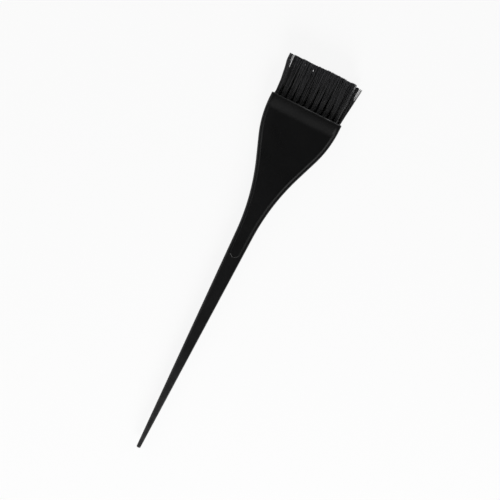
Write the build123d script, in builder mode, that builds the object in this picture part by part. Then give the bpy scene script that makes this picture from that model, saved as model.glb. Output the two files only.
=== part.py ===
from build123d import *
from math import cos, radians, sin, tan
import os

# A tint brush lying on its back: +X across the head, +Y from the tail to the bristle tips, +Z out of the
# front face. The origin is under the middle of the brush, on the plane of the collar's rear face.

# Handle outline, seen from the front
handle_length = 188.0       # from the tip of the tail to the end of the head
head_width = 38.5
cheek_length = 3.0          # parallel sides of the head, next to its end
shoulder_radius = 55.0      # convex stretch below the cheeks
flare_angle = 20.5          # degrees between the flare's straight sides and the centre line
flare_straight = 11.6       # straight side between the shoulder and the waist
tail_tip_width = 2.0
tail_taper = 1.7            # degrees between the tail's sides and the centre line

# Handle thickness, seen from the side
collar_thickness = 7.8
collar_land = 2.5           # flat band round the end of the head
collar_slope = 4.5          # sloping band below the land
collar_blend_radius = 12.0  # softens the top and the foot of the slope
rim_thickness = 6.4
neck_thickness = 6.0
neck_blend_radius = 200.0

# Roundings
edge_radius = 0.85          # the four long edges
end_chamfer = 0.4           # round the end of the head
tip_radius = 0.6            # round the end of the tail
rounding_share = 0.9        # most that a rounding takes of the half thickness it stands on

# Sunken panel, one in each face
panel_thickness = 5.0       # plastic left between the two panels
panel_length = 82.5         # from the end of the head to the point of the panel
panel_point_angle = 37.0    # degrees that the sides of the point rise from square across
panel_point_radius = 1.0
rim_width = 1.0
panel_wall_draft = 57.5     # degrees that the panel's walls lean outwards

# Tufts: two alike rows, staggered by half a pitch, the front one towards the left
bristle_length = 22.0
tuft_pitch = 3.28
end_wall = 0.95             # least plastic between the outermost hole and the side of the head
row_offset = 1.25           # from the middle of the thickness to each row
hole_radius = 1.05
hole_depth = 6.0
tuft_clearance = 0.03       # between the folded root and its hole
root_recess = 0.5           # from the end of the head down to the top of the packed root
strand_rings = ((1, 0.0), (5, 0.4), (9, 0.79))       # how many strands, and their ring's radius
strand_radius = 0.15
strand_tip_radius = 0.13
strand_sides = 3
strand_embed = 0.4          # how far a strand reaches into the root
tip_unevenness = 0.4        # how unevenly the tips are cut
golden_step = 2.4           # radians from strand to strand in the pattern of that cut
tuft_spread = 1.85          # how much a tuft widens from its hole to its tips
row_fan = 1.03              # how much the rows widen across the head
row_splay = 0.4             # how far each row moves off the middle at its tips
end_tuft_spread = 1.15      # the tufts at the head's two sides stay narrower
left_end_lean = 1.25        # and lean out past the fan
right_end_lean = 0.5
stray_lean = 1.6            # one strand at the right end strays out further

# Anchors: flat wire across each hole, over which its tuft is folded
anchor_width = 2.6
anchor_height = 1.6
anchor_thickness = 0.35
anchor_seat = 4.9           # from the end of the head to the bottom of the anchor
anchor_clearance = 0.02

# Places that follow from the sizes
mid_height = collar_thickness / 2
half_head = head_width / 2
half_tip = tail_tip_width / 2
tail_y = -(handle_length + bristle_length) / 2
head_y = tail_y + handle_length
slope_top_y = head_y - collar_land
slope_foot_y = slope_top_y - collar_slope
taper = radians(tail_taper)
flare = radians(flare_angle)

# The waist is the arc that joins the tail to the flare, so its radius is what closes the outline.
flare_top_y = head_y - cheek_length - shoulder_radius * sin(flare)
flare_top_x = half_head - shoulder_radius * (1 - cos(flare))
flare_foot_y = flare_top_y - flare_straight * cos(flare)
flare_foot_x = flare_top_x - flare_straight * sin(flare)
tail_line_x = half_tip + (flare_foot_y - tail_y) * tan(taper)
waist_rise = sin(flare) - sin(taper)
waist_swing = cos(taper) - cos(flare)
waist_radius = (flare_foot_x - tail_line_x) / (waist_swing - waist_rise * tan(taper))
waist_y = flare_foot_y - waist_radius * waist_rise
waist_x = flare_foot_x - waist_radius * waist_swing


def half_outline(inset, foot, top_y):
    """Right side of the handle, set in: tail line, waist arc, flare line, shoulder arc, cheek and end."""
    waist_start = (waist_x - inset * cos(taper), waist_y + inset * sin(taper))
    tail_side = Line(foot, waist_start)
    waist_side = JernArc(tail_side @ 1, tail_side % 1, waist_radius + inset, tail_taper - flare_angle)
    flare_side = Line(waist_side @ 1, waist_side @ 1 + flare_straight * (waist_side % 1))
    shoulder_side = JernArc(flare_side @ 1, flare_side % 1, shoulder_radius - inset, flare_angle)
    cheek_side = Line(shoulder_side @ 1, (half_head - inset, top_y))
    Line(cheek_side @ 1, (0, top_y))


def end_plane(depth):
    """Plane across the brush, facing the bristle tips, this deep below the end of the head."""
    return Plane(origin=(0, head_y - depth, mid_height), x_dir=(1, 0, 0), z_dir=(0, 1, 0))


def row_places(middle, height):
    """Places of a row's tufts across the head, from left to right."""
    return [(middle + tuft_pitch * (index - (row_tufts - 1) / 2), height) for index in range(row_tufts)]


# Each row has as many tufts as the head is wide enough for. On a plane facing the tips, front is towards -Y.
row_shift = tuft_pitch / 4
row_tufts = 1 + int((head_width - 2 * (end_wall + hole_radius + row_shift)) / tuft_pitch)
tuft_places = {"front": row_places(-row_shift, -row_offset), "rear": row_places(row_shift, row_offset)}
all_places = tuft_places["front"] + tuft_places["rear"]

os.makedirs("parts", exist_ok=True)

# Panel cutter: the handle's outline set in by the rim, ending in a blunt point at the neck. Its walls lean
# outwards from the floor, and at the head it rises over the collar's slope.
panel_floor = mid_height + panel_thickness / 2
wall_run = (rim_thickness - panel_thickness) / 2 * tan(radians(panel_wall_draft))
panel_inset = rim_width + wall_run
point_y = head_y - panel_length
point_run = 1 / tan(radians(panel_point_angle))
point_side_y = (point_y * point_run + half_tip - panel_inset / cos(taper) - tail_y * tan(taper)) / (
    point_run - tan(taper)
)
point_side_x = (point_side_y - point_y) * point_run
with BuildPart() as panel_cutter:
    with BuildSketch(Plane.XY.offset(panel_floor)) as panel_plan:
        with BuildLine():
            point_side = Line((0, point_y), (point_side_x, point_side_y))
            half_outline(panel_inset, point_side @ 1, slope_top_y)
            mirror(about=Plane.YZ)
        make_face()
        fillet(panel_plan.vertices().sort_by(Axis.Y)[:3], radius=panel_point_radius)
    extrude(amount=mid_height, taper=-panel_wall_draft)
    with BuildSketch(Plane.YZ):
        with BuildLine():
            Polyline(
                (slope_foot_y, mid_height),
                (slope_foot_y, panel_floor),
                (slope_top_y, collar_thickness),
                (head_y + mid_height, collar_thickness),
                (head_y + mid_height, mid_height),
                close=True,
            )
        make_face()
    extrude(amount=head_width, both=True, mode=Mode.SUBTRACT)

# The handle is one moulding: its front outline, thinned to its side profile.
with BuildPart() as handle:
    with BuildSketch():
        with BuildLine():
            tail_end = Line((0, tail_y), (half_tip, tail_y))
            half_outline(0, tail_end @ 1, head_y)
            mirror(about=Plane.YZ)
        make_face()
    extrude(amount=collar_thickness)
    with BuildSketch(Plane.YZ):
        with BuildLine():
            FilletPolyline(
                (tail_y, mid_height + half_tip),
                (waist_y, mid_height + neck_thickness / 2),
                (slope_foot_y, mid_height + rim_thickness / 2),
                (slope_top_y, collar_thickness),
                (head_y, collar_thickness),
                radius=(neck_blend_radius, collar_blend_radius, collar_blend_radius),
            )
            mirror(about=Plane.XZ.offset(-mid_height))
            Line((tail_y, mid_height - half_tip), (tail_y, mid_height + half_tip))
            Line((head_y, 0), (head_y, collar_thickness))
        make_face()
    extrude(amount=half_head, both=True, mode=Mode.INTERSECT)
    long_edges = handle.edges().filter_by(lambda edge: abs(edge.tangent_at(0.5).Y) > cos(radians(45)))
    fillet(long_edges, radius=min(edge_radius, rounding_share * half_tip))
    chamfer(handle.faces().sort_by(Axis.Y)[-1].edges(), length=end_chamfer)
    fillet(handle.faces().sort_by(Axis.Y)[0].edges(), radius=min(tip_radius, rounding_share * half_tip))
    add(panel_cutter.part, mode=Mode.SUBTRACT)
    add(mirror(panel_cutter.part, about=Plane.XY.offset(mid_height), mode=Mode.PRIVATE), mode=Mode.SUBTRACT)
    # blind tuft holes, each with the two grooves that its anchor's ends cut in the wall
    with BuildSketch(end_plane(0)):
        with Locations(all_places):
            Circle(hole_radius)
            Rectangle(anchor_width + 2 * anchor_clearance, anchor_thickness + 2 * anchor_clearance)
    extrude(amount=-hole_depth, mode=Mode.SUBTRACT)
handle.part.label = "handle"
export_step(handle.part, "parts/handle.step")


def strand(root, tip, trim):
    """One straight tapering filament, from inside the packed root to its tip."""
    with BuildSketch(end_plane(root_recess + strand_embed)) as root_section:
        with Locations(root):
            RegularPolygon(strand_radius, strand_sides)
    with BuildSketch(end_plane(trim - bristle_length)) as tip_section:
        with Locations(tip):
            RegularPolygon(strand_tip_radius, strand_sides)
    return loft(sections=[root_section.sketch, tip_section.sketch], ruled=True)


def tuft_strands(place, number, tip_x, spread, stray):
    """The strands of one tuft: rings of filaments that fan out evenly, so that none crosses another."""
    strands = []
    tip_y = place[1] + row_splay * (1 if place[1] > 0 else -1)
    for count, ring_radius in strand_rings:
        for step in range(count):
            turn = radians(360 * step / count)
            across = ring_radius * cos(turn)
            through = ring_radius * sin(turn)
            outermost = ring_radius == strand_rings[-1][1] and step == 0
            tip = (tip_x + spread * across + (stray if outermost else 0), tip_y + spread * through)
            trim = tip_unevenness * (1 + sin(golden_step * (len(strands) + number))) / 2
            strands.append(strand((place[0] + across, place[1] + through), tip, trim))
    return strands


for row, places in tuft_places.items():
    for number, place in enumerate(places, start=1):
        left_end = row == "front" and number == 1
        right_end = row == "rear" and number == len(places)
        lean = -left_end_lean if left_end else right_end_lean if right_end else 0
        spread = end_tuft_spread if left_end or right_end else tuft_spread
        stray = stray_lean if right_end else 0
        strands = tuft_strands(place, number, place[0] * row_fan + lean, spread, stray)

        # the filaments are folded in half over the anchor and packed into the hole
        with BuildPart() as tuft:
            with BuildSketch(end_plane(hole_depth - tuft_clearance)):
                with Locations(place):
                    Circle(hole_radius - tuft_clearance)
            extrude(amount=hole_depth - tuft_clearance - root_recess)
            with BuildSketch(end_plane(anchor_seat + anchor_clearance)):
                with Locations(place):
                    Rectangle(2 * hole_radius, anchor_thickness + 2 * anchor_clearance)
            extrude(amount=anchor_height + 2 * anchor_clearance, mode=Mode.SUBTRACT)
            add(strands)
        tuft.part.label = f"tuft_{row}_{number:02d}"
        export_step(tuft.part, f"parts/{tuft.part.label}.step")

        with BuildPart() as anchor:
            with BuildSketch(end_plane(anchor_seat)):
                with Locations(place):
                    Rectangle(anchor_width, anchor_thickness)
            extrude(amount=anchor_height)
        anchor.part.label = f"anchor_{row}_{number:02d}"
        export_step(anchor.part, f"parts/{anchor.part.label}.step")
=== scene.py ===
import math
import random

import bmesh
import bpy
from mathutils import Matrix, Vector


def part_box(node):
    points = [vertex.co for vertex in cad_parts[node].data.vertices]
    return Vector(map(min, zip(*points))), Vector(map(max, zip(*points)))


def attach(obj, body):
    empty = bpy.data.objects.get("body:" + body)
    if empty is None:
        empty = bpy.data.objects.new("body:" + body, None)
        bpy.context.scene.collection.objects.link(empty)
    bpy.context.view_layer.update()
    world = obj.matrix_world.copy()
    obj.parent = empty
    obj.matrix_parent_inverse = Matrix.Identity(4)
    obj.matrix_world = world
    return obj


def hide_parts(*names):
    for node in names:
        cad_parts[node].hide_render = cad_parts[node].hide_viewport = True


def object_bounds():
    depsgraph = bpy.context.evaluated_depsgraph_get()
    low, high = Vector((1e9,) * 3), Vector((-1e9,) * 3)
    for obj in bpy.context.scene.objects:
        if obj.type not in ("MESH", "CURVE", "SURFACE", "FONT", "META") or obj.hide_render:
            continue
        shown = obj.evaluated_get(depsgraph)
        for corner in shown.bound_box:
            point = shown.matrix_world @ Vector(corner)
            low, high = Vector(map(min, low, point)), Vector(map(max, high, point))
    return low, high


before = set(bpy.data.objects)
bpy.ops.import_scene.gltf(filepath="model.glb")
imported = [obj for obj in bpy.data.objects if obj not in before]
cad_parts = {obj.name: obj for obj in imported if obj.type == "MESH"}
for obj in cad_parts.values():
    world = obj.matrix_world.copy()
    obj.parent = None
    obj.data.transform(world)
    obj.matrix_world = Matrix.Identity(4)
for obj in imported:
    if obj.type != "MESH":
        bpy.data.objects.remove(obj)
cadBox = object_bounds()
mm = 0.001                         # every size below is in millimetres
print("frame loaded:", len(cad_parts), "nodes")


# camera: straight down on the brush, which lies across the picture
cameraView = {
    "turn": 26.5,                  # degrees, how far the brush leans over in the picture
    "centre": (5.99, 7.63),
    "span": 249.25,                # what the picture takes in, side to side
    "distance": 1300.0,
    "sensor": 36.0,
    "clip": (0.05, 20.0),          # metres
}


def placeCamera(view):
    data = bpy.data.cameras.new("camera")
    data.sensor_width = view["sensor"]
    data.lens = view["sensor"] * view["distance"] / view["span"]
    data.clip_start, data.clip_end = view["clip"]
    camera = bpy.data.objects.new("camera", data)
    camera.location = Vector((*view["centre"], view["distance"])) * mm
    camera.rotation_euler = (0, 0, math.radians(view["turn"]))
    bpy.context.collection.objects.link(camera)
    bpy.context.scene.camera = camera


placeCamera(cameraView)


def linkPiece(name, mesh, slot, *nodes):
    piece = bpy.data.objects.new(name, mesh)
    bpy.context.collection.objects.link(piece)
    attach(piece, "root")
    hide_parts(*nodes)
    return piece


def clamp(value, low=0.0, high=1.0):
    return max(low, min(high, value))


def smoothStep(value):
    value = clamp(value)
    return value * value * (3 - 2 * value)


def along(share, stops):
    # a value between stops, with its corners rounded
    value = stops[-1][1]
    for (s0, v0), (s1, v1) in zip(stops, stops[1:]):
        if share <= s1:
            part = (share - s0) / (s1 - s0)
            value = v0 + (v1 - v0) * (part + smoothStep(part)) / 2
            break
    return value


def softMin(a, b, blend):
    reach = max(blend - abs(a - b), 0.0) / blend
    return min(a, b) - reach * reach * blend / 4


def bentLine(y, corners, radii):
    # height of a line through corners, each inner one rounded to a radius
    height = corners[0][1]
    for (y0, z0), (y1, z1) in zip(corners, corners[1:]):
        if y >= y0:
            height = z0 + (z1 - z0) * (y - y0) / (y1 - y0)
    slopes = [(z1 - z0) / (y1 - y0) for (y0, z0), (y1, z1) in zip(corners, corners[1:])]
    for (yc, _), before, after, radius in zip(corners[1:], slopes, slopes[1:], radii):
        reach = radius * abs(after - before) / 2
        height += (after - before) * max(0.0, reach - abs(y - yc)) ** 2 / (4 * reach)
    return height


def stations(start, stop, step):
    count = max(1, round((stop - start) / step))
    return [start + (stop - start) * i / count for i in range(count)]


# handle: one smooth moulding, rolled up from a grid
low, high = (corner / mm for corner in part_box("handle"))
handleSize = {
    "cheekLength": 3.0, "shoulderRadius": 55.0, "flareAngle": 20.5, "flareStraight": 11.6,
    "tailTip": 2.0, "tailTaper": 1.7,
    "collarLand": 2.5, "collarSlope": 4.5, "collarBlend": 12.0, "slopeFootBlend": 6.0,
    "rimThickness": 6.4, "neckThickness": 6.0, "neckBlend": 200.0,
    "edgeRadius": 0.85, "endRadius": 0.4, "tipRadius": 0.6,
    "panelThickness": 5.0, "panelLength": 82.5, "rimWidth": 1.0, "wallDraft": 57.5,
    "pointAngle": 37.0, "pointBlunt": 0.33, "cornerBlend": 0.5,
    "partingWidth": 0.1, "partingHeight": 0.03,
    "floorPower": 1.5, "weldDistance": 0.002, "smoothAngle": 35.0,        # of the mesh
    # how much it is rubbed along the outline, and how strong the painted highlight is up from the tail's tip
    # and across the edge at the bristle end
    "rubbedOutline": 0.2,
    "tailHighlight": ((0, 0.32), (28, 0.32), (42, 0.23), (56, 0.09), (95, 0.08), (115, 0)),
    "frontHighlight": ((-17, 0.42), (-7, 0.45), (-4, 0.62), (0, 0.72), (6, 0.68), (10, 0.58), (11.6, 1.3),
                    (13.6, 0.85), (17, 0.65)),
}
ringSteps = {"floor": 9, "wall": 6, "rim": 3, "edge": 6, "side": 3}    # quarter ring, middle to side
# how much of their room parts of the ring take at most, and the least that lies between two of them
ringLimits = {"edge": 0.9, "side": 0.95, "foot": 0.7, "top": 0.9, "apart": 0.02}
# behind the panel's point the ring's floor part opens out again, to a share of the half width
ringOpening = {"share": 0.35, "start": 0.3, "length": 1.5}
rowSteps = {"tail": 2.0, "point": 0.06, "panel": 1.2, "collar": 0.2, "arc": 6}
rowBands = {"beforePoint": 1.0, "afterPoint": 3.2, "roundCollar": 1.5}    # where the rows stand closer

tailY, headY = low.y, high.y
midHeight = (low.z + high.z) / 2
halfHead = (high.x - low.x) / 2
halfCollar = (high.z - low.z) / 2
halfTip = handleSize["tailTip"] / 2
slopeTop = headY - handleSize["collarLand"]
slopeFoot = slopeTop - handleSize["collarSlope"]
pointY = headY - handleSize["panelLength"]
taper, flare, pointRise, draft = (
    math.radians(handleSize[name]) for name in ("tailTaper", "flareAngle", "pointAngle", "wallDraft"))

# outline: tail line, waist arc, flare line, shoulder arc, cheek
shoulder = handleSize["shoulderRadius"]
cheekFoot = headY - handleSize["cheekLength"]
flareTop = Vector((halfHead - shoulder * (1 - math.cos(flare)), cheekFoot - shoulder * math.sin(flare)))
flareFoot = flareTop - handleSize["flareStraight"] * Vector((math.sin(flare), math.cos(flare)))
waistSwing = math.cos(taper) - math.cos(flare)
waistRise = math.sin(flare) - math.sin(taper)
waistGap = flareFoot.x - halfTip - (flareFoot.y - tailY) * math.tan(taper)
waist = waistGap / (waistSwing - waistRise * math.tan(taper))
waistCentre = flareFoot + waist * Vector((math.cos(flare), -math.sin(flare)))
waistY = flareFoot.y - waist * waistRise


def halfWidth(y):
    if y >= cheekFoot:
        return halfHead
    if y >= flareTop.y:
        return halfHead - shoulder + math.sqrt(shoulder ** 2 - (cheekFoot - y) ** 2)
    if y >= flareFoot.y:
        return flareTop.x - (flareTop.y - y) * math.tan(flare)
    if y >= waistY:
        return waistCentre.x - math.sqrt(waist ** 2 - (y - waistCentre.y) ** 2)
    return halfTip + (y - tailY) * math.tan(taper)


def sideLean(y):
    # cosine of the angle between the outline and the centre line
    step = 0.1
    return math.cos(math.atan((halfWidth(y + step) - halfWidth(y - step)) / (2 * step)))


def halfThickness(y):
    corners = [(tailY, halfTip), (waistY, handleSize["neckThickness"] / 2),
               (slopeFoot, handleSize["rimThickness"] / 2), (slopeTop, halfCollar), (headY, halfCollar)]
    radii = [handleSize["neckBlend"], handleSize["collarBlend"], handleSize["collarBlend"]]
    return bentLine(y, corners, radii)


def panelFloor(y):
    floor = handleSize["panelThickness"] / 2
    corners = [(tailY, floor), (slopeFoot, floor), (slopeTop, halfCollar), (headY, halfCollar)]
    return bentLine(y, corners, [handleSize["slopeFootBlend"], handleSize["collarBlend"]])


fullRun = (handleSize["rimThickness"] - handleSize["panelThickness"]) / 2 * math.tan(draft)
panelInset = handleSize["rimWidth"] + fullRun


def panelEdges(y):
    # where the panel's wall starts and ends across the handle at y, and how wide it is
    run = max(ringLimits["apart"], (halfThickness(y) - panelFloor(y)) * math.tan(draft))
    foot = halfWidth(y) - panelInset / sideLean(y)
    return foot, foot + run / sideLean(y), run


def panelShare(x, y):
    # 0 on the rim, 1 on the panel's floor
    foot, _, run = panelEdges(y)
    inside = (foot - abs(x)) * sideLean(y)
    rise = math.tan(pointRise) * math.hypot(x, handleSize["pointBlunt"])
    above = (y - pointY - rise) * math.cos(pointRise)
    return smoothStep(softMin(inside, above, handleSize["cornerBlend"]) / run + 1)


def pointWidth(y):
    # half the width of the panel's blunt point at y
    sharp = max(0.0, (y - pointY) / math.tan(pointRise))
    return math.sqrt(max(0.0, sharp ** 2 - handleSize["pointBlunt"] ** 2))


def quarterPoint(step, y, shrink):
    # a point of the quarter ring at y: the distance out from the middle, and up from it
    width, thick = halfWidth(y) - shrink, halfThickness(y) - shrink
    edge = min(handleSize["edgeRadius"], ringLimits["edge"] * width, ringLimits["edge"] * thick)
    edgeStart = width - min(edge / sideLean(y), ringLimits["side"] * width)
    foot, top, run = panelEdges(y)
    foot = min(foot, pointWidth(y))
    top = min(top, pointWidth(y + run / math.cos(pointRise)))
    opening = clamp((pointY + ringOpening["start"] - y) / ringOpening["length"]) * ringOpening["share"] * width
    foot = min(max(foot, opening, ringLimits["apart"]), ringLimits["foot"] * edgeStart)
    top = min(max(top, foot + ringLimits["apart"]), ringLimits["top"] * edgeStart)
    for part, count in ringSteps.items():
        if step <= count:
            break
        step -= count
    share = step / count
    if part == "floor":
        x = foot * (1 - (1 - share) ** handleSize["floorPower"])
    elif part == "wall":
        x = foot + (top - foot) * share
    elif part == "rim":
        x = top + (edgeStart - top) * share
    elif part == "edge":
        turn = share * math.pi / 2
        return edgeStart + (width - edgeStart) * math.sin(turn), thick - edge * (1 - math.cos(turn))
    else:
        line = min(handleSize["partingWidth"], (thick - edge) / 2)
        return width + handleSize["partingHeight"] * (step > 1), line * (1 - (step - 1) / (count - 1))
    return x, thick - (halfThickness(y) - panelFloor(y)) * panelShare(x, y)


def handleRows():
    arc = [math.pi / 2 * i / rowSteps["arc"] for i in range(rowSteps["arc"] + 1)]
    tip, end = handleSize["tipRadius"], handleSize["endRadius"]
    rows = [(tailY + tip * (1 - math.sin(a)), tip * (1 - math.cos(a))) for a in arc[::-1]]
    pointStart, pointEnd = pointY - rowBands["beforePoint"], pointY + rowBands["afterPoint"]
    collarStart, collarEnd = slopeFoot - rowBands["roundCollar"], slopeTop + rowBands["roundCollar"]
    straight = (stations(tailY + tip, pointStart, rowSteps["tail"])[1:]
                + stations(pointStart, pointEnd, rowSteps["point"])
                + stations(pointEnd, collarStart, rowSteps["panel"])
                + stations(collarStart, collarEnd, rowSteps["collar"])
                + stations(collarEnd, headY - end, rowSteps["collar"]))
    rows += [(y, 0.0) for y in straight]
    rows += [(headY - end * (1 - math.sin(a)), end * (1 - math.cos(a))) for a in arc]
    return rows


def wearAndHighlightShare(x, y, z):
    # painted highlight, most on the edge at the bristle end and less at the thin end, and rubbing along the
    # outline
    end = handleSize["endRadius"]
    outline = 1 - smoothStep((halfWidth(y) - abs(x)) / handleSize["edgeRadius"])
    front = (1 - smoothStep((headY - y) / end - 1)) * smoothStep((abs(z) - halfCollar) / end + 1)
    return max(handleSize["rubbedOutline"] * outline, along(y - tailY, handleSize["tailHighlight"]),
               front * along(x, handleSize["frontHighlight"]))


def makeHandleMesh():
    quarter = sum(ringSteps.values())
    rows = handleRows()
    bm = bmesh.new()
    wearAndHighlight = bm.verts.layers.float.new("wearAndHighlight")
    bmesh.ops.create_grid(bm, x_segments=4 * quarter, y_segments=len(rows) - 1, size=1)
    for vert in bm.verts:
        around = round((vert.co.x + 1) * 2 * quarter)
        y, shrink = rows[round((vert.co.y + 1) / 2 * (len(rows) - 1))]
        turn, step = divmod(around, quarter)
        x, z = quarterPoint(quarter - step if turn % 2 else step, y, shrink)
        x = x if turn in (0, 1) else -x
        vert.co = Vector((x, y, midHeight + (z if turn % 4 in (0, 3) else -z))) * mm
        vert[wearAndHighlight] = wearAndHighlightShare(x, y, z)
    bmesh.ops.remove_doubles(bm, verts=bm.verts, dist=handleSize["weldDistance"] * mm)
    bmesh.ops.holes_fill(bm, edges=[edge for edge in bm.edges if edge.is_boundary], sides=0)
    bmesh.ops.recalc_face_normals(bm, faces=bm.faces)
    mesh = bpy.data.meshes.new("handle_moulding")
    bm.to_mesh(mesh)
    bm.free()
    return mesh


# tuft holes, in two staggered rows, with the grooves that the anchors cut in their walls
tuftSize = {
    "pitch": 3.28, "rowOffset": 1.25, "holeRadius": 1.05, "holeDepth": 6.0,
    "anchorWidth": 2.6, "anchorThickness": 0.35, "anchorClearance": 0.02,
    "anchorTop": 3.3, "anchorSeat": 4.9,
    "holeSides": 32, "grooveShorter": 0.02,        # of the cutters
}
rowSide = {"front": 1, "rear": -1}
tuftPlaces = {}
for row, side in rowSide.items():
    inRow = sum(name.startswith("tuft_" + row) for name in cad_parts)
    for number in range(1, inRow + 1):
        across = tuftSize["pitch"] * (number - (inRow + 1) / 2 - side / 4)
        tuftPlaces[row, number] = Vector((across, headY, midHeight + side * tuftSize["rowOffset"]))


def makeCutter(name, addOne):
    bm = bmesh.new()
    for place in tuftPlaces.values():
        made = addOne(bm)["verts"]
        bmesh.ops.translate(bm, verts=made, vec=place * mm)
    mesh = bpy.data.meshes.new(name)
    bm.to_mesh(mesh)
    bm.free()
    cutter = bpy.data.objects.new(name, mesh)
    bpy.context.collection.objects.link(cutter)
    return cutter


def addHole(bm):
    radius = tuftSize["holeRadius"] * mm
    made = bmesh.ops.create_cone(bm, cap_ends=True, segments=tuftSize["holeSides"], radius1=radius,
                                 radius2=radius, depth=2 * tuftSize["holeDepth"] * mm)
    bmesh.ops.rotate(bm, verts=made["verts"], cent=(0, 0, 0), matrix=Matrix.Rotation(math.pi / 2, 3, "X"))
    return made


def addGroove(bm):
    made = bmesh.ops.create_cube(bm, size=1)
    gap = 2 * tuftSize["anchorClearance"]
    length = 2 * tuftSize["holeDepth"] - tuftSize["grooveShorter"]        # half of it stands out of the handle
    size = Vector((tuftSize["anchorWidth"] + gap, length, tuftSize["anchorThickness"] + gap))
    bmesh.ops.scale(bm, verts=made["verts"], vec=size * mm)
    return made


def makeHandle():
    piece = linkPiece("handle_moulding", makeHandleMesh(), "handle", "handle")
    cutters = [makeCutter("hole_cutter", addHole), makeCutter("groove_cutter", addGroove)]
    for cutter in cutters:
        cut = piece.modifiers.new(cutter.name, "BOOLEAN")
        cut.object = cutter
        cut.operation = "DIFFERENCE"
        cut.solver = "EXACT"
    drilled = bpy.data.meshes.new_from_object(piece.evaluated_get(bpy.context.evaluated_depsgraph_get()))
    piece.modifiers.clear()
    piece.data = drilled
    for cutter in cutters:
        bpy.data.objects.remove(cutter)
    drilled.shade_smooth()
    drilled.set_sharp_from_angle(angle=math.radians(handleSize["smoothAngle"]))
    return piece


handle = makeHandle()
print("handle made:", len(handle.data.polygons), "faces")


# tufts: filaments folded in half over their anchor
# each hole has evenly packed spots, and a filament folds round the anchor from each of those above it
bristleSize = {
    "radius": 0.09, "packedSpots": 82, "packedRadius": 0.95,
    "sections": 14, "sectionPower": 1.3, "bendSections": 5, "smoothAngle": 50.0,
    "anchorGap": 0.3, "bendStart": 0.6, "bendSlack": 0.01,
    "splay": 0.4, "depth": 1.5, "flattenedBy": 0.6, "flattenedSlack": 1.06,
    "unevenness": 0.5, "unevenPower": 1.5, "jitter": 0.38, "driftPower": 1.3, "bow": 0.15,
    "clumps": 6, "clumpSpread": (0.8, 0.7), "clumpPull": 0.35, "weakestPull": 0.2, "clumpPower": 2.0,
    "strayShare": 0.06, "strayReach": 1.2, "strayRise": 0.5, "laggardFollow": (0.3, 0.8),
    "darkClumpRise": 0.04, "boxMargin": 0.02, "lengthSeed": 4, "rowSeed": 100,
}
# from its hole, at 0, to its tips, at 1, a tuft wanders sideways by path and forwards by lean, and width is how
# far its filaments stand apart, as a share of their spacing in the hole; its length is drawn from lengths
usualTuft = {
    "path": ((0, 0), (0.07, 0.4), (1, -0.1)),
    "width": ((0, 1), (0.07, 1.3), (0.45, 1.42), (0.65, 1.75), (1, 2.3)),
    "lengths": (21.3, 21.85), "lean": ((0, 0), (1, 0)), "sway": 0.12, "looseness": 1,
    "darkClump": 0, "laggards": 0, "runaways": (),
}
oddTufts = {
    ("front", 1): {
        "path": ((0, 0), (0.07, 0.4), (0.32, 0.12), (0.6, -0.65), (0.73, -1.25), (0.86, -1.8), (1, -1.85)),
        "width": ((0, 1), (0.07, 1.25), (0.32, 1.15), (0.6, 1.1), (0.73, 1.0), (1, 0.95)),
        "lengths": (21.2, 21.2), "sway": 0, "looseness": 0.35, "laggards": 0.15,
    },
    ("rear", 1): {
        "path": ((0, 0), (0.07, 0.4), (1, -0.3)), "width": ((0, 1), (0.07, 1.2), (0.5, 1.6), (1, 1.75)),
        "lean": ((0, 0), (0.35, 2.0), (1, 2.2)), "sway": 0, "looseness": 0.5,
    },
    ("front", 11): {
        "path": ((0, 0), (0.07, 0), (0.3, -0.1), (0.52, 0.15), (0.75, 0), (1, -0.05)),
        "width": ((0, 1), (0.3, 1.15), (0.52, 1.5), (0.75, 1.35), (1, 1.45)), "sway": 0, "looseness": 0.5,
    },
    # a clump that dried together, with a knob at its end and a few filaments that got away
    ("rear", 11): {
        "path": ((0, 0), (0.05, 0.25), (0.29, 0.4), (0.43, 0.65), (0.53, 0.85), (0.63, 0.95), (0.73, 0.5),
                 (0.86, 0.45), (0.95, 0.85), (1, 0.85)),
        "width": ((0, 1), (0.14, 1.1), (0.29, 1.3), (0.43, 1.4), (0.53, 1.5), (0.63, 1.55), (0.73, 0.9),
                  (0.86, 0.65), (0.94, 1.0), (1, 0.9)),
        "lengths": (20.8, 20.8), "sway": 0, "looseness": 0.2, "darkClump": 1,
        "runaways": (3.3, 3.05, 2.8, 2.55, 2.3, 2.05, 1.85, 1.65, 1.45, 1.3, 1.15, 1.0),
    },
}
parting = {"across": -5.6, "share": 0.865, "halfWidth": 0.27, "halfHeight": 0.04}    # filaments bent apart

# sections stand closer together near the hole, and one lies in the parting
legShares = [(step / bristleSize["sections"]) ** bristleSize["sectionPower"]
             for step in range(bristleSize["sections"] + 1)]
legShares = sorted(legShares + [parting["share"]])


def spreadApart(x, share):
    near = 1 - smoothStep(abs(share - parting["share"]) / parting["halfHeight"])
    gap = x - parting["across"]
    return x + math.copysign(max(0.0, near * parting["halfWidth"] - abs(gap)), gap)


def packedRoots():
    # where the filaments of one side of the anchor stand in the mouth of the hole
    places = []
    for one in range(bristleSize["packedSpots"]):
        out = bristleSize["packedRadius"] * math.sqrt((one + 0.5) / bristleSize["packedSpots"])
        turn = one * math.pi * (3 - math.sqrt(5))        # the golden angle, which packs them evenly
        if math.sin(turn) > 0:
            places.append((out * math.cos(turn), out * math.sin(turn)))
    return places


lengthDice = random.Random(bristleSize["lengthSeed"])


def makeHabit(row, number, dice):
    habit = usualTuft | oddTufts.get((row, number), {})
    habit["length"] = lengthDice.uniform(*habit["lengths"])
    sway = habit["sway"] * dice.gauss(0, 1)
    habit["path"] = [(share, offset + sway * share) for share, offset in habit["path"]]
    across, up = bristleSize["clumpSpread"]
    habit["clumps"] = [Vector((dice.uniform(-across, across), 0, dice.uniform(-up, up)))
                       for one in range(bristleSize["clumps"])]
    return habit


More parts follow.
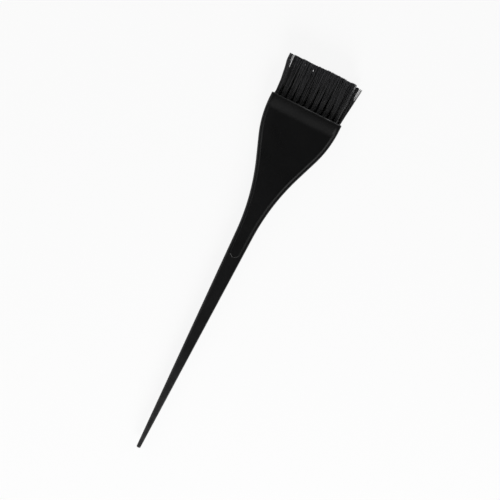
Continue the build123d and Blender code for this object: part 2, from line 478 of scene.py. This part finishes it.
def freeLeg(place, offset, side, habit, dice, runaway):
    # the points of one leg, from its tip down to the mouth of the hole
    size = bristleSize
    clump = min(habit["clumps"], key=lambda middle: (middle - offset).length)
    pull = size["clumpPull"] * dice.uniform(size["weakestPull"], 1.0)
    loose = habit["looseness"]
    drift = Vector((dice.gauss(0, 1), 0, dice.gauss(0, 1))) * size["jitter"] * loose
    if dice.random() < size["strayShare"]:
        away = Vector((dice.uniform(-1, 1), 0, size["strayRise"] * dice.random()))
        drift += away * size["strayReach"] * loose
    bow = Vector((dice.gauss(0, 1), 0, dice.gauss(0, 1))) * size["bow"] * loose
    follow = dice.uniform(*size["laggardFollow"]) if dice.random() < habit["laggards"] else 1
    reach = habit["length"] - size["unevenness"] * dice.random() ** size["unevenPower"]
    points = []
    for share in legShares:
        point = offset + (clump - offset) * pull * share ** size["clumpPower"]
        # the round bundle opens out into a flat-faced one
        outwards = min(1.0, abs(point.x) / size["packedRadius"])
        level = point.z / math.sqrt(size["flattenedSlack"] - outwards ** 2)
        point.z += (level - point.z) * smoothStep(share / size["flattenedBy"])
        point.z *= 1 + (size["depth"] - 1) * share
        point.x = point.x * along(share, habit["width"]) + follow * along(share, habit["path"])
        if runaway:
            point.x = offset.x + (runaway - offset.x) * share
        point += place + drift * share ** size["driftPower"] + bow * math.sin(math.pi * share)
        point.x = spreadApart(point.x, share)
        point.y = headY + reach * share
        point.z += side * size["splay"] * share + along(share, habit["lean"])
        point.x, point.z = clamp(point.x, edgeLow.x, edgeHigh.x), clamp(point.z, edgeLow.z, edgeHigh.z)
        points.append(point)
    return points[::-1]


def foldedRoot(place, x, through):
    # from one mouth of the hole down past the anchor, round under it and up again
    limit, gap = bristleSize["packedRadius"], bristleSize["anchorGap"]
    tight = gap + through * (limit - gap) / limit
    room, taken = (limit ** 2 - height ** 2 + bristleSize["bendSlack"] for height in (tight, through))
    squeezed = x * min(1.0, math.sqrt(room / taken))
    count = bristleSize["bendSections"]
    seat = headY - tuftSize["anchorSeat"]
    fold = [(seat - tight * math.sin(math.pi * step / count), tight * math.cos(math.pi * step / count))
            for step in range(count + 1)]
    top = headY - tuftSize["anchorTop"] + bristleSize["bendStart"]
    return [Vector((place.x + squeezed, y, place.z + z)) for y, z in [(top, tight), *fold, (top, -tight)]]


def makeTuft(row, number):
    place = tuftPlaces[row, number]
    dice = random.Random(bristleSize["rowSeed"] * rowSide[row] + number)
    habit = makeHabit(row, number, dice)
    name = f"tuft_{row}_{number:02d}"
    curve = bpy.data.curves.new(name, "CURVE")
    curve.dimensions = "3D"
    curve.bevel_depth = bristleSize["radius"] * mm
    curve.bevel_resolution = 1
    curve.use_fill_caps = True
    roots = packedRoots()
    runaways = dict(zip(sorted(roots, reverse=True), habit["runaways"]))
    looks = []
    for root in roots:
        legs = [freeLeg(place, Vector((root[0], 0, side * root[1])), rowSide[row], habit, dice,
                        runaways.get(root) if side > 0 else None) for side in (1, -1)]
        points = legs[0] + foldedRoot(place, *root) + legs[1][::-1]
        spline = curve.splines.new("POLY")
        spline.points.add(len(points) - 1)
        for target, point in zip(spline.points, points):
            target.co = (*(point * mm), 1)
        tone = dice.random()
        looks += [(tone, clamp((point.y - headY) / habit["length"]) ** 2) for point in points]
    holder = bpy.data.objects.new(name + "_curve", curve)
    bpy.context.collection.objects.link(holder)
    mesh = bpy.data.meshes.new_from_object(holder.evaluated_get(bpy.context.evaluated_depsgraph_get()))
    bpy.data.objects.remove(holder)
    around = len(mesh.vertices) // len(looks)
    tone, rise, darkClump = (mesh.attributes.new(kind, "FLOAT", "POINT") for kind in ("tone", "rise", "darkClump"))
    for index in range(len(mesh.vertices)):
        look = looks[min(index // around, len(looks) - 1)]
        tone.data[index].value, rise.data[index].value = look
        darkClump.data[index].value = habit["darkClump"] * smoothStep(look[1] / bristleSize["darkClumpRise"])
    mesh.shade_smooth()
    mesh.set_sharp_from_angle(angle=math.radians(bristleSize["smoothAngle"]))
    return linkPiece(name + "_bristles", mesh, "bristle", name)


boxMargin = Vector((bristleSize["radius"] + bristleSize["boxMargin"],) * 3)
edgeLow, edgeHigh = cadBox[0] / mm + boxMargin, cadBox[1] / mm - boxMargin
tufts = [makeTuft(row, number) for row, number in tuftPlaces]
print("tufts made:", len(tufts), "with", sum(len(tuft.data.polygons) for tuft in tufts), "faces")


def newMaterial(name):
    material = bpy.data.materials.new(name)
    material.use_nodes = True
    nodes, links = material.node_tree.nodes, material.node_tree.links
    return material, nodes, links, nodes["Principled BSDF"]


def dress(piece, material):
    if not piece.material_slots:
        piece.data.materials.append(None)
    for slot in piece.material_slots:
        slot.link = "OBJECT"
        slot.material = material


def newEffect(name, inputs, outputs):
    effect = bpy.data.node_groups.new(name, "ShaderNodeTree")
    for direction, sockets in (("INPUT", inputs), ("OUTPUT", outputs)):
        for socket, kind in sockets.items():
            effect.interface.new_socket(name=socket, in_out=direction, socket_type="NodeSocket" + kind)
    nodes = effect.nodes
    given, made = nodes.new("NodeGroupInput").outputs, nodes.new("NodeGroupOutput").inputs
    return effect, nodes, effect.links, given, made


def placeEffect(nodes, links, effect, **values):
    node = nodes.new("ShaderNodeGroup")
    node.node_tree = effect
    for name, value in values.items():
        socket = node.inputs[name.capitalize()]
        if isinstance(value, bpy.types.NodeSocket):
            links.new(value, socket)
        else:
            socket.default_value = value
    return node.outputs


def blend(nodes, links, share, first, second):
    # a colour or a number between first and second, each of which may be a socket
    isColour = isinstance(second, tuple)
    node = nodes.new("ShaderNodeMix")
    node.data_type = "RGBA" if isColour else "FLOAT"
    sockets = {socket.identifier: socket for socket in (*node.inputs, *node.outputs)}
    links.new(share, sockets["Factor_Float"])
    kind = "Color" if isColour else "Float"
    for name, value in (("A_", first), ("B_", second)):
        if isinstance(value, bpy.types.NodeSocket):
            links.new(value, sockets[name + kind])
        else:
            sockets[name + kind].default_value = (*value, 1) if isColour else value
    return sockets["Result_" + kind]


def attribute(nodes, name):
    node = nodes.new("ShaderNodeAttribute")
    node.attribute_name = name
    return node.outputs["Fac"]


grainNoise = {"fineDetail": 3, "wideDetail": 4, "wideDistortion": 0.6, "patchEdges": (0.3, 0.7)}
rubbingAndLightNoise = {"detail": 5, "roughness": 0.6, "edges": (0.25, 0.65), "least": 0.45}


def makeSurfaceGrain():
    # height is a fine even grain, and patches are the larger marks left by handling
    effect, nodes, links, given, made = newEffect(
        "surface_grain", {"Place": "Vector", "Grain": "Float", "Patch": "Float"},
        {"Height": "Float", "Patches": "Float"})
    fine = nodes.new("ShaderNodeTexNoise")
    fine.inputs["Detail"].default_value = grainNoise["fineDetail"]
    links.new(given["Place"], fine.inputs["Vector"])
    links.new(given["Grain"], fine.inputs["Scale"])
    links.new(fine.outputs["Fac"], made["Height"])
    wide = nodes.new("ShaderNodeTexNoise")
    wide.inputs["Detail"].default_value = grainNoise["wideDetail"]
    wide.inputs["Distortion"].default_value = grainNoise["wideDistortion"]
    links.new(given["Place"], wide.inputs["Vector"])
    links.new(given["Patch"], wide.inputs["Scale"])
    spread = nodes.new("ShaderNodeMapRange")
    spread.inputs["From Min"].default_value, spread.inputs["From Max"].default_value = grainNoise["patchEdges"]
    links.new(wide.outputs["Fac"], spread.inputs["Value"])
    links.new(spread.outputs["Result"], made["Patches"])
    return effect


def makeRubbingAndLight():
    # turns a smooth mask into an uneven one, for rubbing and for painted light
    effect, nodes, links, given, made = newEffect(
        "rubbingAndLight", {"Place": "Vector", "Mask": "Float", "Scale": "Float"}, {"WearAndLight": "Float"})
    broken = nodes.new("ShaderNodeTexNoise")
    broken.inputs["Detail"].default_value = rubbingAndLightNoise["detail"]
    broken.inputs["Roughness"].default_value = rubbingAndLightNoise["roughness"]
    links.new(given["Place"], broken.inputs["Vector"])
    links.new(given["Scale"], broken.inputs["Scale"])
    uneven = nodes.new("ShaderNodeMapRange")
    uneven.inputs["From Min"].default_value, uneven.inputs["From Max"].default_value = rubbingAndLightNoise["edges"]
    uneven.inputs["To Min"].default_value = rubbingAndLightNoise["least"]
    links.new(broken.outputs["Fac"], uneven.inputs["Value"])
    unevenMask = nodes.new("ShaderNodeMath")
    unevenMask.operation = "MULTIPLY"
    links.new(uneven.outputs["Result"], unevenMask.inputs[0])
    links.new(given["Mask"], unevenMask.inputs[1])
    links.new(unevenMask.outputs[0], made["WearAndLight"])
    return effect


surfaceGrain = makeSurfaceGrain()
rubbingAndLight = makeRubbingAndLight()


def objectPlace(nodes, links, stretch=(1, 1, 1)):
    place = nodes.new("ShaderNodeTexCoord")
    mapping = nodes.new("ShaderNodeMapping")
    mapping.inputs["Scale"].default_value = stretch
    links.new(place.outputs["Object"], mapping.inputs["Vector"])
    return mapping.outputs["Vector"]


def roughen(nodes, links, shader, height, strength, depth):
    bump = nodes.new("ShaderNodeBump")
    bump.inputs["Strength"].default_value = strength
    bump.inputs["Distance"].default_value = depth * mm
    links.new(height, bump.inputs["Height"])
    links.new(bump.outputs["Normal"], shader.inputs["Normal"])


# the paler colour is rubbing along the outline and a painted highlight on the tail's tip and the front edge
handleFinish = {
    "colour": (0.0054, 0.0054, 0.0056), "wearAndHighlightColour": (0.2, 0.2, 0.204),
    "roughness": (0.26, 0.33), "rubbedRoughness": 0.52,
    "grain": 4500.0, "patch": 45.0, "rubbingAndLight": 260.0, "grainStrength": 0.15, "grainDepth": 0.05,
    "palingPower": 2.0, "ior": 1.49,
}


def makeHandleMaterial(finish):
    material, nodes, links, shader = newMaterial("satin_black_plastic")
    place = objectPlace(nodes, links)
    grain = placeEffect(nodes, links, surfaceGrain, place=place, grain=finish["grain"], patch=finish["patch"])
    wearAndHighlight = attribute(nodes, "wearAndHighlight")
    wearAndLight = placeEffect(nodes, links, rubbingAndLight, place=place, mask=wearAndHighlight, scale=finish["rubbingAndLight"])
    satin = nodes.new("ShaderNodeMapRange")
    satin.inputs["To Min"].default_value, satin.inputs["To Max"].default_value = finish["roughness"]
    links.new(grain["Patches"], satin.inputs["Value"])
    links.new(blend(nodes, links, wearAndLight["WearAndLight"], satin.outputs["Result"], finish["rubbedRoughness"]),
              shader.inputs["Roughness"])
    paled = nodes.new("ShaderNodeMath")         # rubbing, and the painted highlight on the tail and the front edge, dull the plastic first and pale it later
    paled.operation = "POWER"
    paled.inputs[1].default_value = finish["palingPower"]
    links.new(wearAndLight["WearAndLight"], paled.inputs[0])
    links.new(blend(nodes, links, paled.outputs[0], finish["colour"], finish["wearAndHighlightColour"]),
              shader.inputs["Base Color"])
    roughen(nodes, links, shader, grain["Height"], finish["grainStrength"], finish["grainDepth"])
    shader.inputs["IOR"].default_value = finish["ior"]
    return material


# the tip colour is a painted highlight, paler towards the filaments' ends
bristleFinish = {
    "dark": (0.026, 0.026, 0.026), "light": (0.042, 0.042, 0.043), "tip": (0.052, 0.052, 0.056),
    "darkClumpColour": (0.008, 0.008, 0.0088), "roughness": (0.30, 0.46), "darkClumpRoughness": 0.75,
    "stretch": (1, 0.12, 1), "grain": 9000.0, "patch": 900.0, "rubbingAndLight": 1800.0,
    "grainStrength": 0.2, "grainDepth": 0.01, "ior": 1.53,
}


def makeBristleMaterial(finish):
    # each filament has its own tone, and its end is painted paler, a painted highlight for the light the tips
    # catch
    material, nodes, links, shader = newMaterial("black_nylon")
    place = objectPlace(nodes, links, finish["stretch"])
    tone, rise, darkClump = (attribute(nodes, name) for name in ("tone", "rise", "darkClump"))
    grain = placeEffect(nodes, links, surfaceGrain, place=place, grain=finish["grain"], patch=finish["patch"])
    wearAndLight = placeEffect(nodes, links, rubbingAndLight, place=place, mask=rise, scale=finish["rubbingAndLight"])
    mixed = nodes.new("ShaderNodeMath")
    mixed.operation = "MULTIPLY"
    links.new(tone, mixed.inputs[0])
    links.new(grain["Patches"], mixed.inputs[1])
    fresh = blend(nodes, links, mixed.outputs[0], finish["dark"], finish["light"])
    withTipLight = blend(nodes, links, wearAndLight["WearAndLight"], fresh, finish["tip"])
    # the clump's filaments are darker and less glossy, all along it
    links.new(blend(nodes, links, darkClump, withTipLight, finish["darkClumpColour"]), shader.inputs["Base Color"])
    satin = blend(nodes, links, tone, *finish["roughness"])
    links.new(blend(nodes, links, darkClump, satin, finish["darkClumpRoughness"]), shader.inputs["Roughness"])
    roughen(nodes, links, shader, grain["Height"], finish["grainStrength"], finish["grainDepth"])
    shader.inputs["IOR"].default_value = finish["ior"]
    return material


anchorFinish = {
    "bright": (0.62, 0.60, 0.56), "tarnished": (0.33, 0.29, 0.23), "roughness": (0.24, 0.44),
    "stretch": (0.05, 1, 1), "grain": 12000.0, "patch": 700.0, "grainStrength": 0.3, "grainDepth": 0.01,
}


def makeAnchorMaterial(finish):
    # flat wire, with the marks of drawing along it and dull patches
    material, nodes, links, shader = newMaterial("drawn_metal_wire")
    place = objectPlace(nodes, links, finish["stretch"])
    grain = placeEffect(nodes, links, surfaceGrain, place=place, grain=finish["grain"], patch=finish["patch"])
    links.new(blend(nodes, links, grain["Patches"], finish["bright"], finish["tarnished"]),
              shader.inputs["Base Color"])
    links.new(blend(nodes, links, grain["Patches"], *finish["roughness"]), shader.inputs["Roughness"])
    roughen(nodes, links, shader, grain["Height"], finish["grainStrength"], finish["grainDepth"])
    shader.inputs["Metallic"].default_value = 1
    return material


dress(handle, makeHandleMaterial(handleFinish))
nylon = makeBristleMaterial(bristleFinish)
for tuft in tufts:
    dress(tuft, nylon)
wire = makeAnchorMaterial(anchorFinish)
anchors = [node for name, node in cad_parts.items() if name.startswith("anchor_")]
for anchor in anchors:
    dress(anchor, wire)
print("materials made:", len(tufts), "tufts,", len(anchors), "anchors and the handle dressed")


# floor, lamps and world
studio = {
    "floorSize": 6.0, "floorColour": 0.85, "floorRoughness": 0.8, "whiteShare": 0.9,
    # each is the strength of the band along the horizon, and the two heights between which it fades out
    "worldLight": (0.0458, 0.1, 0.35), "worldSeen": (1.0, 0.12, 0.14),
    "aim": (0.0, 0.02, 0.004), "lampDistance": 0.9, "lampSize": 0.45,
}
# bearing is degrees round from the bristle end towards the right, and rise is degrees up from the floor
lamps = {
    "lampHeadLeft": {"bearing": -37, "rise": 24, "power": 0.9},
    "lampHeadRight": {"bearing": 37, "rise": 24, "power": 1.5},
    "lampTail": {"bearing": 153.5, "rise": 20, "power": 12.0},
    "lampLowerLeft": {"bearing": 243.5, "rise": 50, "power": 1.55, "size": 0.9},
    "lampUpperRight": {"bearing": 63.5, "rise": 35, "power": 0.2},
    "lampUpperLeft": {"bearing": 291, "rise": 27, "power": 0.52},
}


def seenDirectly(nodes, links):
    # 1 for a ray that shows the background itself, and 0 for one that only carries its light
    path = nodes.new("ShaderNodeLightPath")
    seen = path.outputs["Is Camera Ray"]
    for kind in ("Is Glossy Ray", "Is Transmission Ray"):
        either = nodes.new("ShaderNodeMath")
        either.operation = "MAXIMUM"
        links.new(seen, either.inputs[0])
        links.new(path.outputs[kind], either.inputs[1])
        seen = either.outputs[0]
    return seen


def makeFloor():
    bm = bmesh.new()
    bmesh.ops.create_grid(bm, x_segments=1, y_segments=1, size=studio["floorSize"] / 2)
    mesh = bpy.data.meshes.new("floor")
    bm.to_mesh(mesh)
    bm.free()
    floor = bpy.data.objects.new("floor", mesh)
    bpy.context.collection.objects.link(floor)
    material, nodes, links, shader = newMaterial("white_table")
    shader.inputs["Base Color"].default_value = (*[studio["floorColour"]] * 3, 1)
    shader.inputs["Roughness"].default_value = studio["floorRoughness"]
    white = nodes.new("ShaderNodeEmission")
    white.inputs["Strength"].default_value = 1.0
    share = nodes.new("ShaderNodeMath")
    share.operation = "MULTIPLY"
    share.inputs[1].default_value = studio["whiteShare"]
    links.new(seenDirectly(nodes, links), share.inputs[0])
    mix = nodes.new("ShaderNodeMixShader")
    links.new(share.outputs[0], mix.inputs["Fac"])
    links.new(shader.outputs[0], mix.inputs[1])
    links.new(white.outputs[0], mix.inputs[2])
    links.new(mix.outputs[0], nodes["Material Output"].inputs["Surface"])
    dress(floor, material)


def makeLamps():
    for name, lamp in lamps.items():
        data = bpy.data.lights.new(name, "AREA")
        data.shape = "DISK"
        data.size = lamp.get("size", studio["lampSize"])
        data.energy = lamp["power"]
        lampObject = bpy.data.objects.new(name, data)
        bearing, rise = math.radians(lamp["bearing"]), math.radians(lamp["rise"])
        level = math.cos(rise)
        toward = Vector((math.sin(bearing) * level, math.cos(bearing) * level, math.sin(rise)))
        lampObject.location = Vector(studio["aim"]) + toward * studio["lampDistance"]
        lampObject.rotation_euler = toward.to_track_quat("Z", "Y").to_euler()
        bpy.context.collection.objects.link(lampObject)


def makeWorld():
    # a band of light along the horizon, which is white where it is seen, and dark above
    world = bpy.data.worlds.new("studio")
    bpy.context.scene.world = world
    world.use_nodes = True
    nodes, links = world.node_tree.nodes, world.node_tree.links
    place = nodes.new("ShaderNodeTexCoord")
    split = nodes.new("ShaderNodeSeparateXYZ")
    links.new(place.outputs["Generated"], split.inputs[0])
    bands = []
    for name in ("worldLight", "worldSeen"):
        fade = nodes.new("ShaderNodeMapRange")
        for socket, value in zip(("To Min", "From Min", "From Max", "To Max"), (*studio[name], 0.0)):
            fade.inputs[socket].default_value = value
        links.new(split.outputs["Z"], fade.inputs["Value"])
        bands.append(fade.outputs["Result"])
    nodes["Background"].inputs["Color"].default_value = (1, 1, 1, 1)
    links.new(blend(nodes, links, seenDirectly(nodes, links), *bands), nodes["Background"].inputs["Strength"])


makeFloor()
makeLamps()
makeWorld()
bpy.context.scene.view_settings.view_transform = "Standard"
print("studio made")
